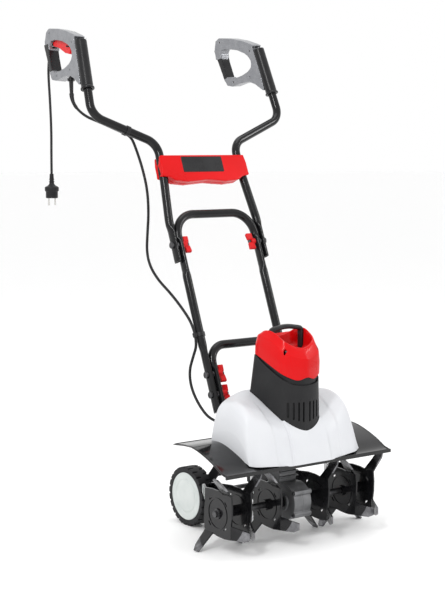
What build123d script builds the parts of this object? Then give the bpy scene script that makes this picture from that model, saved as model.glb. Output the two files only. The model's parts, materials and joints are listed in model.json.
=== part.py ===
"""Electric garden tiller: six star tines on a worm-driven shaft, folding handle, wheels."""

import math
import os

from build123d import *

os.makedirs("parts", exist_ok=True)

# Driving dimensions, millimetres. The tine shaft runs along X through y = 0 until save() moves
# every part back by origin_y, which puts the middle of the machine over the origin.
origin_y = -301.358

plate_x = (221.0, 164.0, 74.0)
plate_t = 4.0
plate_half = 52.0
fold_r = 52.0
out_angle = math.radians(40)
in_angle = math.radians(27)
tip_r = 95.0
shaft_z = tip_r
shaft_r = 8.0
hub_r = 13.0

tooth_count = 30
wheel_pitch_r = 28.0
worm_pitch_r = 8.0
lead = 2 * math.pi * wheel_pitch_r / tooth_count
motor_y = wheel_pitch_r + worm_pitch_r

case_half = 26.0
fender_half = 256.0
sheet_t = 2.0

wheel_r = 75.0
wheel_y = 247.0
wheel_in, wheel_out = 106.5, 144.5
rim_r = 60.7
axle_r = 6.0
run = 0.06

tube_r = 11.0
tube_wall = 1.5
flat_a, flat_b = 6.8, 13.6
tilt = math.radians(21.8)
handle_foot_y = 18.0
low_x, mid_x, up_x = 104.0, 121.9, 138.6
bolt_r = 4.0
foot_s = 293.0
low_bolts = (373.0, 424.0)
pivot_s = 763.6

handle = Plane(
    origin=(0, handle_foot_y, 0),
    x_dir=(1, 0, 0),
    z_dir=(0, -math.cos(tilt), math.sin(tilt)),
)
slope = (0, math.sin(tilt), math.cos(tilt))


def save(part, label):
    placed = part.moved(Location((0, origin_y, 0)))
    placed.label = label
    export_step(placed, f"parts/{label}.step")


def at(x, s, n=0.0):
    return handle.from_local_coords((x, s, n))


def across(x, s):
    return Plane(origin=at(x, s), x_dir=(1, 0, 0), z_dir=slope)


def rod(p, axis, radius, length):
    """Cylinder from point p along axis."""
    with BuildPart() as made:
        with BuildSketch(Plane(origin=p, z_dir=axis)):
            Circle(radius)
        extrude(amount=length)
    return made.part


def slab(points, plane, low, high, fillet_r=0.0):
    """Closed polygon on a plane, extruded from low to high along the plane's normal."""
    with BuildPart() as made:
        with BuildSketch(plane.offset(low)) as face:
            with BuildLine():
                Polyline(*points, close=True)
            make_face()
            if fillet_r:
                fillet(face.vertices(), fillet_r)
        extrude(amount=high - low)
    return made.part


def block(x0, x1, y0, y1, z0, z1):
    with BuildPart() as made:
        with Locations(((x0 + x1) / 2, (y0 + y1) / 2, (z0 + z1) / 2)):
            Box(x1 - x0, y1 - y0, z1 - z0)
    return made.part


# ---------------------------------------------------------------- tines
def blade(corner_t, side, angle):
    """One bent blade of the bottom arm: root on the fold chord, tip at tip_r."""
    reach = (tip_r - fold_r + 1.5) / math.cos(angle)
    outward = (side * math.sin(angle), 0, -math.cos(angle))
    start = (side * -plate_t / 2, 0, -fold_r + 1.5)
    plane = Plane(origin=start, x_dir=(0, 1, 0), z_dir=Vector(0, 1, 0).cross(Vector(*outward)))
    way = plane.to_local_coords(Vector(*outward) + Vector(*start)).Y
    length = reach * way
    points = [
        (corner_t - 33, 0),
        (corner_t, 0),
        (corner_t, length * 0.75),
        (corner_t - 6, length),
        (corner_t - 22, length),
    ]
    lift = plate_t if plane.z_dir.X * side > 0 else -plate_t
    return slab(points, plane, min(0, lift), max(0, lift))


def star(x, flip):
    """A stamped plate with four blades, bent alternately; flip mirrors the bends."""
    rim = [(-50, -53), (-26, -56), (0, -55), (20, -fold_r), (53, -fold_r)]
    outline = []
    for turn in range(4):
        a = turn * math.pi / 2
        for u, v in rim[1:]:
            outline.append((u * math.cos(a) - v * math.sin(a), u * math.sin(a) + v * math.cos(a)))
    with BuildPart() as made:
        with BuildSketch(Plane.YZ.offset(-plate_t / 2)):
            with BuildLine():
                Polyline(*outline, close=True)
            make_face()
            Circle(shaft_r, mode=Mode.SUBTRACT)
        extrude(amount=plate_t)
        for turn in range(4):
            side = (-1 if turn % 2 == 0 else 1) * (-1 if flip else 1)
            angle = out_angle if turn % 2 == 0 else in_angle
            add(blade(53.0, side, angle).rotate(Axis.X, turn * 90))
        with BuildSketch(Plane.YZ.offset(-plate_t / 2)):
            with PolarLocations(43.0, 4, start_angle=-42):
                Rectangle(4, 12)
        extrude(amount=plate_t, mode=Mode.SUBTRACT)
        for face_side in (-1, 1):
            with BuildSketch(Plane.YZ.offset(face_side * plate_t / 2)):
                Circle(37.5)
                Circle(35.0, mode=Mode.SUBTRACT)
            extrude(amount=face_side * 1.5)
    return made.part.moved(Location((x, 0, shaft_z)))


def tube_x(x0, x1, r_out, r_in, y=0.0, z=shaft_z):
    with BuildPart() as made:
        with BuildSketch(Plane.YZ.offset(x0)):
            with Locations((y, z)):
                Circle(r_out)
                Circle(r_in, mode=Mode.SUBTRACT)
        extrude(amount=x1 - x0)
    return made.part


for name, sign in (("left", -1), ("right", 1)):
    with BuildPart() as tine_pair:
        add(star(sign * plate_x[0], sign > 0))
        add(star(sign * plate_x[1], sign < 0))
        ends = sorted((sign * (plate_x[0] + 4), sign * (plate_x[1] - 8)))
        add(tube_x(*ends, hub_r, shaft_r))
    save(tine_pair.part, f"tine_pair_{name}")
    with BuildPart() as tine_inner:
        add(star(sign * plate_x[2], sign > 0))
        ends = sorted((sign * (plate_x[2] + 12), sign * (case_half + 6)))
        add(tube_x(*ends, hub_r, shaft_r))
    save(tine_inner.part, f"tine_inner_{name}")

with BuildPart() as tine_shaft:
    add(tube_x(-plate_x[0] - 4, plate_x[0] + 4, shaft_r, 3.0))
save(tine_shaft.part, "tine_shaft")

with BuildPart() as tine_bolts:
    for sign in (-1, 1):
        with BuildSketch(Plane.YZ.offset(sign * (plate_x[0] + 4))):
            with Locations((0, shaft_z)):
                Circle(12.0)
        extrude(amount=sign * 2)
        with BuildSketch(Plane.YZ.offset(sign * (plate_x[0] + 6))):
            with Locations((0, shaft_z)):
                RegularPolygon(8.5, 6)
        extrude(amount=sign * 6)
        with BuildSketch(Plane.YZ.offset(sign * (plate_x[0] + 4))):
            with Locations((0, shaft_z)):
                Circle(3.0)
        extrude(amount=-sign * 18)
save(tine_bolts.part, "tine_bolts")

with BuildPart() as worm_wheel:
    with BuildSketch(Plane.YZ.offset(-5)):
        with Locations((0, shaft_z)):
            with BuildLine():
                around = []
                for i in range(tooth_count * 8):
                    a = 2 * math.pi * i / (tooth_count * 8)
                    r = 28.5 + 1.1 * math.cos(tooth_count * a)
                    around.append((r * math.cos(a), shaft_z + r * math.sin(a)))
                Spline(*around, periodic=True)
            make_face()
            Circle(shaft_r, mode=Mode.SUBTRACT)
    extrude(amount=10)
    for side in (-1, 1):
        with BuildSketch(Plane.YZ.offset(side * 5)):
            with Locations((0, shaft_z)):
                Circle(16)
                Circle(shaft_r, mode=Mode.SUBTRACT)
        extrude(amount=side * 4)
save(worm_wheel.part, "worm_wheel")

# ---------------------------------------------------------------- gear case and motor
worm_low, worm_high = 71.0, 119.0
bearing_z = (60.0, 226.0)
case_profile_r = 46.0
neck_y = (motor_y - 22, motor_y + 22)
neck_top = 216.0
case_screws = ((-40, 122), (-40, 68))

with BuildPart() as case_block:
    with BuildSketch(Plane.YZ.offset(-case_half)):
        with Locations((0, shaft_z)):
            Circle(case_profile_r)
    extrude(amount=2 * case_half)
    add(block(-case_half, case_half, neck_y[0], neck_y[1], 52, neck_top))
    for side in (-1, 1):
        with BuildSketch(Plane.YZ.offset(side * case_half)):
            with Locations((0, shaft_z)):
                Circle(22)
        extrude(amount=side * 5)
    for rib_z in range(150, 211, 12):
        add(block(-case_half - 4, case_half + 4, neck_y[0] - 5, neck_y[0] + 2, rib_z, rib_z + 3))
    for y, z in case_screws:
        add(rod((-case_half, y, z), (1, 0, 0), 7.0, 2 * case_half))
    # wheel chamber, worm chamber, shaft bores and bearing seats
    with BuildSketch(Plane.YZ.offset(-case_half + 8)):
        with Locations((0, shaft_z)):
            Circle(33)
    extrude(amount=2 * (case_half - 8), mode=Mode.SUBTRACT)
    add(rod((0, motor_y, 54), (0, 0, 1), 10.5, 80), mode=Mode.SUBTRACT)
    add(rod((0, motor_y, 130), (0, 0, 1), 6.0, 90), mode=Mode.SUBTRACT)
    add(rod((-40, 0, shaft_z), (1, 0, 0), shaft_r + 1.0, 80), mode=Mode.SUBTRACT)
    for side in (-1, 1):
        add(rod((side * 33, 0, shaft_z), (-side, 0, 0), 14, 14), mode=Mode.SUBTRACT)
    for y, z in case_screws:
        add(rod((-40, y, z), (1, 0, 0), 3.0, 80), mode=Mode.SUBTRACT)

with BuildPart() as gear_case_left:
    add(case_block.part)
    split(bisect_by=Plane.YZ, keep=Keep.BOTTOM)
save(gear_case_left.part, "gear_case_left")

with BuildPart() as gear_case_right:
    add(case_block.part)
    split(bisect_by=Plane.YZ, keep=Keep.TOP)
save(gear_case_right.part, "gear_case_right")

with BuildPart() as bearings:
    for side in (-1, 1):
        ends = sorted((side * 31.0, side * 20.0))
        add(tube_x(*ends, 14, shaft_r + run))
    for z in (55.0, 227.0):
        with BuildSketch(Plane.XY.offset(z)):
            with Locations((0, motor_y)):
                Circle(10.5)
                Circle(5 + run, mode=Mode.SUBTRACT)
        extrude(amount=8)
save(bearings.part, "bearings")

# Motor mount: flange on the neck, spigot up through the fender, seat for the stator can.
with BuildPart() as motor_mount:
    with BuildSketch(Plane.XY.offset(neck_top)):
        with Locations((0, motor_y)):
            Circle(31)
    extrude(amount=50)
    with BuildSketch(Plane.XY.offset(262)):
        with Locations((0, motor_y)):
            Circle(46)
    extrude(amount=8)
    with BuildSketch(Plane.XY.offset(neck_top)):
        with Locations((0, motor_y)):
            Circle(6)
    extrude(amount=60, mode=Mode.SUBTRACT)
    with BuildSketch(Plane.XY.offset(227)):
        with Locations((0, motor_y)):
            Circle(10.5)
    extrude(amount=8, mode=Mode.SUBTRACT)
    with BuildSketch(Plane.XY.offset(242)):
        with Locations((0, motor_y)):
            Circle(25)
    extrude(amount=40, mode=Mode.SUBTRACT)
save(motor_mount.part, "motor_mount")

# The worm is an off-centre disc twisted once per lead; its hollow faces a tooth at shaft height.
worm_phase = math.radians(90) - 2 * math.pi * (shaft_z - worm_low) / lead
with BuildSketch(Plane.XY.offset(worm_low)) as worm_section:
    with Locations((1.3 * math.cos(worm_phase), motor_y + 1.3 * math.sin(worm_phase))):
        Circle(6.5)
worm = Solid.extrude_linear_with_rotation(
    worm_section.sketch.face(),
    center=(0, motor_y, worm_low),
    normal=(0, 0, worm_high - worm_low),
    angle=360 * (worm_high - worm_low) / lead,
)

with BuildPart() as armature:
    add(rod((0, motor_y, 56), (0, 0, 1), 5, 342))
    add(worm)
    add(rod((0, motor_y, 290), (0, 0, 1), 26, 60))
    add(rod((0, motor_y, 362), (0, 0, 1), 14, 20))
    with BuildSketch(Plane.XY.offset(274)):
        with Locations((0, motor_y)):
            Circle(28)
            with PolarLocations(21, 8):
                Circle(5, mode=Mode.SUBTRACT)
    extrude(amount=6)
save(armature.part, "armature")

with BuildPart() as motor_stator:
    with BuildSketch(Plane.XY.offset(270)):
        with Locations((0, motor_y)):
            Circle(44)
    extrude(amount=128)
    with BuildSketch(Plane.XY.offset(270)):
        with Locations((0, motor_y)):
            Circle(40)
    extrude(amount=14, mode=Mode.SUBTRACT)
    with BuildSketch(Plane.XY.offset(284)):
        with Locations((0, motor_y)):
            Circle(29)
    extrude(amount=104, mode=Mode.SUBTRACT)
    with BuildSketch(Plane.XY.offset(388)):
        with Locations((0, motor_y)):
            Circle(5 + run)
    extrude(amount=20, mode=Mode.SUBTRACT)
    with BuildSketch(Plane.XY.offset(398)):
        with Locations((0, motor_y)):
            Circle(12)
            Circle(5 + run, mode=Mode.SUBTRACT)
    extrude(amount=6)
save(motor_stator.part, "motor_stator")

# ---------------------------------------------------------------- fender and bracket
fender_line = [
    (-77, 203), (-58, 207), (-38, 217), (0, 233), (40, 245), (65, 249), (97, 247.5), (137, 243),
]


def under_fender(gap):
    """Everything below the fender's top face raised by gap, as one extruded solid."""
    with BuildPart() as made:
        with BuildSketch(Plane.YZ.offset(-fender_half - 5)):
            with BuildLine():
                top = Spline(*[(y, z + gap) for y, z in fender_line])
                Polyline(top @ 0, (fender_line[0][0], 120), (fender_line[-1][0], 120), top @ 1)
            make_face()
        extrude(amount=2 * fender_half + 10)
    return made.part


with BuildPart() as fender:
    with BuildSketch(Plane.YZ.offset(-fender_half)):
        with BuildLine():
            upper = Spline(*fender_line)
            lower = Spline(*[(y, z - sheet_t) for y, z in fender_line])
            Line(upper @ 0, lower @ 0)
            Line(upper @ 1, lower @ 1)
        make_face()
    extrude(amount=2 * fender_half)
    add(block(-fender_half, fender_half, -79, -76, 195, 203.4))
    with BuildSketch(Plane.XY.offset(200)):
        with Locations((0, motor_y)):
            Circle(31)
    extrude(amount=80, mode=Mode.SUBTRACT)
save(fender.part, "fender")

ear_x = (88.0, 92.5)
carrier_y, carrier_z = 122.0, 214.0
with BuildPart() as chassis_bracket:
    add(block(-118, 118, 108, 134, 250, 254))
    for sign in (-1, 1):
        ends = sorted((sign * 88.2, sign * 92.8))
        add(block(*ends, 112, 142, 252, 300))
        ends = sorted((sign * ear_x[0], sign * ear_x[1]))
        add(block(*ends, 106, 136, 204, 240))
        add(block(*ends, 110, 132, 236, 252))
    for sign in (-1, 1):
        add(rod((sign * 80, carrier_y, carrier_z), (sign, 0, 0), 5.0, 20), mode=Mode.SUBTRACT)
    add(rod(at(-100, foot_s), (1, 0, 0), bolt_r, 200), mode=Mode.SUBTRACT)
with BuildPart() as fender_slots:
    for sign in (-1, 1):
        ends = sorted((sign * (ear_x[0] - 0.2), sign * (ear_x[1] + 0.2)))
        add(block(*ends, 105.5, 136.5, 200, 260))
with BuildPart() as fender_cut:
    add(fender.part)
    add(fender_slots.part, mode=Mode.SUBTRACT)
save(fender_cut.part, "fender")
save(chassis_bracket.part, "chassis_bracket")

# ---------------------------------------------------------------- skirt cover, cowl, top cover
hood_half = [
    (170, [(98, 246), (94, 262), (60, 275), (20, 280), (-12, 268), (-36, 244), (-54, 212)]),
    (150, [(100, 246), (95, 333), (62, 350), (28, 353), (-12, 333), (-34, 297), (-64, 208)]),
    (84, [(102, 246), (98, 350), (74, 363), (24, 344), (-25, 311), (-56, 283), (-76, 204)]),
    (58, [(102, 246), (98, 350), (72, 362), (26, 340), (-30, 310), (-62, 280), (-81, 202)]),
]


def hood(inset):
    """Ruled loft through the skirt's cross-sections, each drawn on a YZ plane."""
    widths = [w - (inset if i == 0 else 0) for i, (w, _) in enumerate(hood_half)]
    rows = [pts for _, pts in hood_half]
    stations = [(-w, pts) for w, pts in zip(widths, rows)]
    stations += [(w, pts) for w, pts in zip(reversed(widths), reversed(rows))]
    with BuildPart() as made:
        for x, pts in stations:
            with BuildSketch(Plane.YZ.offset(x)):
                with BuildLine():
                    mid_y = 20.0
                    moved = []
                    for i, (y, z) in enumerate(pts):
                        low = i in (0, len(pts) - 1)
                        dy = inset if y < mid_y else -inset
                        moved.append((y + dy, z - inset * (5 if low else 1)))
                    Polyline(*moved, close=True)
                make_face()
        loft(ruled=True)
    return made.part


def pick(rear_w, nose_w, rear_y, nose_y, corner=12.0):
    """Plan outline of the motor covers: a shallow pointed nose at the front, wide rear."""
    points = [
        (-rear_w, rear_y),
        (rear_w, rear_y),
        (rear_w, rear_y - 42),
        (nose_w, nose_y + 15),
        (0, nose_y),
        (-nose_w, nose_y + 15),
        (-rear_w, rear_y - 42),
    ]
    with BuildSketch() as made:
        with BuildLine():
            Polyline(*points, close=True)
        make_face()
        fillet(made.vertices(), corner)
    return made.sketch


def picks(low, high, low_args, high_args):
    with BuildPart() as made:
        for z, args in ((low, low_args), (high, high_args)):
            with BuildSketch(Plane.XY.offset(z)):
                add(pick(*args))
        loft(ruled=True)
    return made.part


gland_z = 288.0
cowl_low, cowl_high = 256.0, 470.0
wall = 2.5

with BuildPart() as skirt_cover:
    add(hood(0))
    add(hood(wall), mode=Mode.SUBTRACT)
    add(picks(200, 480, (89.7, 56.5, 96.1, -59.3), (66.2, 53.9, 80.4, -58)), mode=Mode.SUBTRACT)
    add(under_fender(0.3), mode=Mode.SUBTRACT)
    add(block(-fender_half, fender_half, -79.3, -75.7, 190, 203.8), mode=Mode.SUBTRACT)
    add(rod((-140, 80, gland_z), (0, 1, 0), 7, 40), mode=Mode.SUBTRACT)
save(skirt_cover.part, "skirt_cover")

cap_bottom = [(110, 456), (56, 454), (-50, 404), (-100, 400)]
cowl_top = [(110, 455), (56, 452), (-42, 398), (-57, 386), (-100, 384)]
slot_top = 348.0
slots = ((9.5, 298.0), (22.5, 302.0), (35.5, 306.0), (47.5, 311.0))
with BuildPart() as motor_cowl:
    add(picks(cowl_low, cowl_high, (84, 55, 92, -58), (66, 53, 80, -57)))
    add(
        picks(cowl_low - 5, cowl_high + 5, (81.5, 52.5, 89.5, -55.5), (63.5, 50.5, 77.5, -54.5)),
        mode=Mode.SUBTRACT,
    )
    with BuildSketch(Plane.YZ.offset(-100)):
        with BuildLine():
            Polyline(*cowl_top, (-100, 520), (110, 520), close=True)
        make_face()
    extrude(amount=200, mode=Mode.SUBTRACT)
    for x, foot in slots:
        for sign in (-1, 1):
            with BuildSketch(Plane.XZ.offset(30)):
                with Locations((sign * x, (slot_top + foot) / 2)):
                    SlotOverall(slot_top - foot, 4.6, rotation=90)
            extrude(amount=50, mode=Mode.SUBTRACT)
    for z in range(300, 401, 14):
        add(block(-40, 40, 80, 100, z, z + 6), mode=Mode.SUBTRACT)
save(motor_cowl.part, "motor_cowl")

handle_y = 24.0
with BuildPart() as carry_handle:
    with BuildLine(Plane(origin=(0, handle_y, 0), x_dir=(1, 0, 0), z_dir=(0, -1, 0))):
        FilletPolyline(
            (-46, 458), (-46, 515), (0, 523), (46, 515), (46, 458), radius=[10, 120, 10]
        )
    with BuildSketch(Plane(origin=(-46, handle_y, 458), x_dir=(1, 0, 0), z_dir=(0, 0, 1))):
        RectangleRounded(8, 13, 3)
    sweep()
save(carry_handle.part, "carry_handle")

# Side view lines of the top cover: the high side wings and the hand recess between them.
wing_line = [
    (-60, 452), (-45, 466), (-39, 481), (-20, 501), (5, 516), (30, 516), (50, 510), (92, 503),
]
recess_line = [
    (-59, 453), (-41, 476), (-34, 473), (-10, 467), (30, 465), (60, 469), (68, 487), (92, 492),
]
recess_w = 51.0
cap_args = ((70, 56, 84, -60), (60, 51, 78, -56))
cap_inner = ((67, 53, 81, -57), (57, 48, 75, -53))
cap_screws = ((-45, -34), (45, -34))


def above(line, half, drop=0.0):
    """Everything above a side view line, lowered by drop, across the given half width."""
    lowered = [(y, z - drop) for y, z in line]
    (y0, z0), (y1, z1) = lowered[0], lowered[-1]
    return slab([(y0 - 40, z0 - 40), *lowered, (y1 + 30, z1), (y1 + 30, 560), (y0 - 40, 560)],
                Plane.YZ, -half, half)


with BuildPart() as top_cover:
    add(picks(395, 530, *cap_args))
    with BuildPart(mode=Mode.PRIVATE) as hollow:
        add(picks(390, 460, *cap_inner))
        add(above(recess_line, 90, 3), mode=Mode.SUBTRACT)
        for x, y in cap_screws:
            add(rod((x, y, 435), (0, 0, 1), 6.5, 40), mode=Mode.SUBTRACT)
    add(hollow.part, mode=Mode.SUBTRACT)
    with BuildSketch(Plane.YZ.offset(-100)):
        with BuildLine():
            Polyline(*cap_bottom, (-100, 380), (110, 380), close=True)
        make_face()
    extrude(amount=200, mode=Mode.SUBTRACT)
    add(above(wing_line, 100), mode=Mode.SUBTRACT)
    add(above(recess_line, recess_w), mode=Mode.SUBTRACT)
    for sign in (-1, 1):
        wing_bevel = [(52, 517), (90, 471), (90, 540), (52, 540)]
        add(slab([(sign * x, z) for x, z in wing_bevel], Plane.XZ, -120, 120), mode=Mode.SUBTRACT)
    for x, y in cap_screws:
        add(rod((x, y, 420), (0, 0, 1), 2.5, 80), mode=Mode.SUBTRACT)
        add(rod((x, y, 469), (0, 0, 1), 5.0, 40), mode=Mode.SUBTRACT)
    add(carry_handle.part, mode=Mode.SUBTRACT)
save(top_cover.part, "top_cover")

# ---------------------------------------------------------------- frames in the handle plane
def leg(x, stations, shrink=0.0):
    """Tube leg lofted through (s, half width, half depth) sections."""
    with BuildPart() as made:
        for (s0, a0, b0), (s1, a1, b1) in zip(stations, stations[1:]):
            with BuildPart():
                with BuildSketch(across(x, s0)):
                    Ellipse(a0 - shrink, b0 - shrink)
                with BuildSketch(across(x, s1)):
                    Ellipse(a1 - shrink, b1 - shrink)
                loft(ruled=True)
    return made.part


def bow(points, radii, radius):
    """Round bar swept along a filleted polyline in the handle plane."""
    with BuildPart() as made:
        with BuildLine(handle):
            FilletPolyline(*points, radius=radii)
        with BuildSketch(across(*points[0])):
            Circle(radius)
        sweep()
    return made.part


round_leg = tube_r, tube_r
flat_leg = flat_a, flat_b


def frame(x, top_s, bend_r, stations, shrink):
    last = stations[-1][0]
    with BuildPart() as made:
        for sign in (-1, 1):
            add(leg(sign * x, stations, shrink))
        points = [(-x, last), (-x, top_s), (x, top_s), (x, last)]
        add(bow(points, [bend_r, bend_r], tube_r - shrink))
    return made.part


low_stations = [
    (282, *round_leg), (304, *round_leg), (318, *flat_leg), (436, *flat_leg), (446, *round_leg),
]
mid_stations = [
    (328, *flat_leg), (484, *flat_leg), (498, *round_leg), (682, *round_leg), (696, *flat_leg),
    (772, *flat_leg), (783, *round_leg),
]

with BuildPart() as lower_frame:
    add(frame(low_x, 497, 46, low_stations, 0))
    add(frame(low_x, 497, 46, low_stations, tube_wall), mode=Mode.SUBTRACT)
    for s in (foot_s, *low_bolts):
        add(rod(at(-150, s), (1, 0, 0), bolt_r, 300), mode=Mode.SUBTRACT)
save(lower_frame.part, "lower_frame")

with BuildPart() as middle_frame:
    add(frame(mid_x, 844, 60, mid_stations, 0))
    add(frame(mid_x, 844, 60, mid_stations, tube_wall), mode=Mode.SUBTRACT)
    for s in (*low_bolts, pivot_s):
        add(rod(at(-150, s), (1, 0, 0), bolt_r, 300), mode=Mode.SUBTRACT)
save(middle_frame.part, "middle_frame")

up_flat = 5.5, 14.0
sleeve_foot, sleeve_top = (293.8, 1189.3), (284.3, 1316.0)


def sleeve_x(s):
    share = (s - sleeve_foot[1]) / (sleeve_top[1] - sleeve_foot[1])
    return sleeve_foot[0] + share * (sleeve_top[0] - sleeve_foot[0])


up_stations = [(719, *up_flat), (800, *up_flat), (815, *round_leg)]
bend_low, bend_up = (121.5, 1037.0), (sleeve_x(1113.0), 1113.0)
tube_top = (sleeve_x(1304.0), 1304.0)


def upper_tube(sign, shrink):
    points = [(up_x, 815), (up_x, 828), (126.5, 935), bend_low, bend_up, tube_top]
    points = [(sign * x, s) for x, s in points]
    with BuildPart() as made:
        add(leg(sign * up_x, up_stations, shrink))
        add(bow(points, [90, 90, 45, 45], tube_r - shrink))
    return made.part


for name, sign in (("left", -1), ("right", 1)):
    with BuildPart() as tube:
        add(upper_tube(sign, 0))
        add(upper_tube(sign, tube_wall), mode=Mode.SUBTRACT)
        add(rod(at(sign * 110, pivot_s), (sign, 0, 0), bolt_r + run, 50), mode=Mode.SUBTRACT)
    save(tube.part, f"upper_tube_{name}")

nut_in = mid_x - flat_a - 0.4
low_nut_in = low_x - flat_a - 0.4
pivot = at(0, pivot_s)
with BuildPart() as frame_bolts:
    for sign in (-1, 1):
        for s in low_bolts:
            add(rod(at(sign * 78, s), (sign, 0, 0), bolt_r, 51))
            add(rod(at(sign * 128.9, s), (sign, 0, 0), 8.5, 4.5))
        add(rod(at(sign * 96, pivot_s), (sign, 0, 0), bolt_r, 49))
        add(rod(at(sign * 144.3, pivot_s), (sign, 0, 0), 8.5, 4.5))
        add(tube_x(*sorted((sign * 128.8, sign * 132.9)), 8, bolt_r, pivot.Y, pivot.Z))
        for s in low_bolts:
            spot = at(0, s)
            add(tube_x(*sorted((sign * 111.0, sign * 114.9)), 9, bolt_r, spot.Y, spot.Z))
        add(rod(at(sign * 86, foot_s), (sign, 0, 0), bolt_r, 30))
        add(rod(at(sign * 115.2, foot_s), (sign, 0, 0), 7.5, 4.5))
        add(rod(at(sign * 88.1, foot_s), (-sign, 0, 0), 7.0, 5.0))
        add(rod((sign * 84, carrier_y, carrier_z), (sign, 0, 0), 5.0, 19))
        add(rod((sign * 84, carrier_y, carrier_z), (-sign, 0, 0), 8.0, 5.0))
        add(rod((sign * 102.5, carrier_y, carrier_z), (sign, 0, 0), 8.0, 4.0))
save(frame_bolts.part, "frame_bolts")


def wing_nut(sign, face_x, s, turn):
    """Hub and two wings; the wings lean at turn degrees from the tube's slope."""
    with BuildPart() as made:
        add(rod(at(sign * face_x, s), (-sign, 0, 0), 8.0, 13))
        p = at(0, s)
        wing = [(6, -4), (21, -6), (23, 0), (21, 6), (6, 4)]
        with BuildPart(mode=Mode.PRIVATE) as wings:
            for half in (0, 180):
                lean = tilt + math.radians(half + turn)
                wing_dir = (0, math.sin(lean), math.cos(lean))
                plane = Plane(origin=(0, p.Y, p.Z), x_dir=wing_dir, z_dir=(1, 0, 0))
                ends = sorted((sign * (face_x - 5), sign * (face_x - 20)))
                add(slab(wing, plane, *ends, 1.5))
                add(slab([(4, -3.5), (10, -3.5), (10, 3.5), (4, 3.5)], plane, *ends))
        add(wings.part)
        add(rod(at(sign * (face_x + 1), s), (-sign, 0, 0), bolt_r + run, 40), mode=Mode.SUBTRACT)
    return made.part


for name, sign in (("left", -1), ("right", 1)):
    save(wing_nut(sign, nut_in, pivot_s, 8.0), f"wing_nut_upper_{name}")
    save(wing_nut(sign, low_nut_in, low_bolts[1], 4.0), f"wing_nut_middle_{name}")
    save(wing_nut(sign, low_nut_in, low_bolts[0], 4.0), f"wing_nut_lower_{name}")

# ---------------------------------------------------------------- wheels and carrier
rear_x = 95.0
with BuildPart() as wheel_carrier:
    arm = Plane.YZ
    for sign in (-1, 1):
        ends = sorted((sign * 93.0, sign * 98.0))
        dy, dz = wheel_y - carrier_y, wheel_r - carrier_z
        length = math.hypot(dy, dz)
        ny, nz = -dz / length * 13, dy / length * 13
        outline = [
            (carrier_y + ny, carrier_z + nz),
            (carrier_y - ny, carrier_z - nz),
            (wheel_y - ny, wheel_r - nz),
            (wheel_y + ny, wheel_r + nz),
        ]
        add(slab(outline, Plane.YZ, *ends))
        add(rod((sign * 93, carrier_y, carrier_z), (sign, 0, 0), 13, 5))
        add(rod((sign * 93, wheel_y, wheel_r), (sign, 0, 0), 13, 5))
    mid = (carrier_y * 0.45 + wheel_y * 0.55, carrier_z * 0.45 + wheel_r * 0.55)
    add(rod((-93, *mid), (1, 0, 0), 8, 186))
    for sign in (-1, 1):
        add(rod((sign * 90, carrier_y, carrier_z), (sign, 0, 0), 5 + run, 10), mode=Mode.SUBTRACT)
    add(rod((-100, wheel_y, wheel_r), (1, 0, 0), axle_r, 200), mode=Mode.SUBTRACT)
save(wheel_carrier.part, "wheel_carrier")

with BuildPart() as wheel_axle:
    add(rod((-134, wheel_y, wheel_r), (1, 0, 0), axle_r, 268))
    for sign in (-1, 1):
        add(rod((sign * 98.2, wheel_y, wheel_r), (sign, 0, 0), 9, 4.5))
        add(rod((sign * 131, wheel_y, wheel_r), (sign, 0, 0), 8.5, 3))
save(wheel_axle.part, "wheel_axle")

for name, sign in (("left", -1), ("right", 1)):
    with BuildPart() as rim:
        with BuildSketch(Plane.YZ.offset(sign * wheel_out)):
            with Locations((wheel_y, wheel_r)):
                Circle(rim_r - 0.5)
        extrude(amount=-sign * 4)
        with BuildSketch(Plane.YZ.offset(sign * (wheel_out - 2))):
            with Locations((wheel_y, wheel_r)):
                Circle(rim_r)
                Circle(rim_r - 4, mode=Mode.SUBTRACT)
        extrude(amount=-sign * (wheel_out - 2 - wheel_in))
        ends = sorted((sign * 104.0, sign * 129.0))
        add(tube_x(*ends, 15, axle_r + 0.08, wheel_y, wheel_r))
        ends = sorted((sign * 129.0, sign * (wheel_out - 3)))
        add(tube_x(*ends, 15, 10, wheel_y, wheel_r))
        for turn in range(6):
            spoke = block(*sorted((sign * 108.0, sign * (wheel_out - 3))), -2, 2, 14, rim_r - 2)
            add(spoke.rotate(Axis.X, turn * 60).moved(Location((0, wheel_y, wheel_r))))
        with BuildSketch(Plane.YZ.offset(sign * wheel_out)):
            with Locations((wheel_y, wheel_r)):
                Circle(44)
                Circle(40, mode=Mode.SUBTRACT)
        extrude(amount=-sign * 1.2, mode=Mode.SUBTRACT)
    save(rim.part, f"wheel_rim_{name}")
    with BuildPart() as tyre:
        ends = sorted((sign * wheel_in, sign * wheel_out))
        add(tube_x(*ends, wheel_r, rim_r, wheel_y, wheel_r))
        with BuildPart(mode=Mode.PRIVATE) as grooves:
            for turn in range(24):
                for near, far, shift in (
                    (wheel_in - 1, wheel_in + 14, 0),
                    (wheel_out - 14, wheel_out + 1, 7.5),
                ):
                    cut = block(*sorted((sign * near, sign * far)), -2, 2, wheel_r - 4, wheel_r + 5)
                    angle = turn * 15 + shift + 3.75
                    add(cut.rotate(Axis.X, angle).moved(Location((0, wheel_y, wheel_r))))
        add(grooves.part, mode=Mode.SUBTRACT)
    save(tyre.part, f"tyre_{name}")

# ---------------------------------------------------------------- crosspiece between the upper tubes
panel = [
    (132, 1000), (136, 978), (137, 944), (117, 941), (100, 931), (62, 927), (0, 932),
    (-62, 927), (-100, 931), (-117, 941), (-137, 944), (-136, 978), (-132, 1000),
]
panel_core = [(104, 994), (104, 938), (60, 934), (0, 938), (-60, 934), (-104, 938), (-104, 994)]
with BuildPart() as both_tubes:
    add(upper_tube(-1, 0))
    add(upper_tube(1, 0))
panel_screws = [(sx * x, s) for sx in (-1, 1) for x, s in ((110, 992), (106, 950))]


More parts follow.
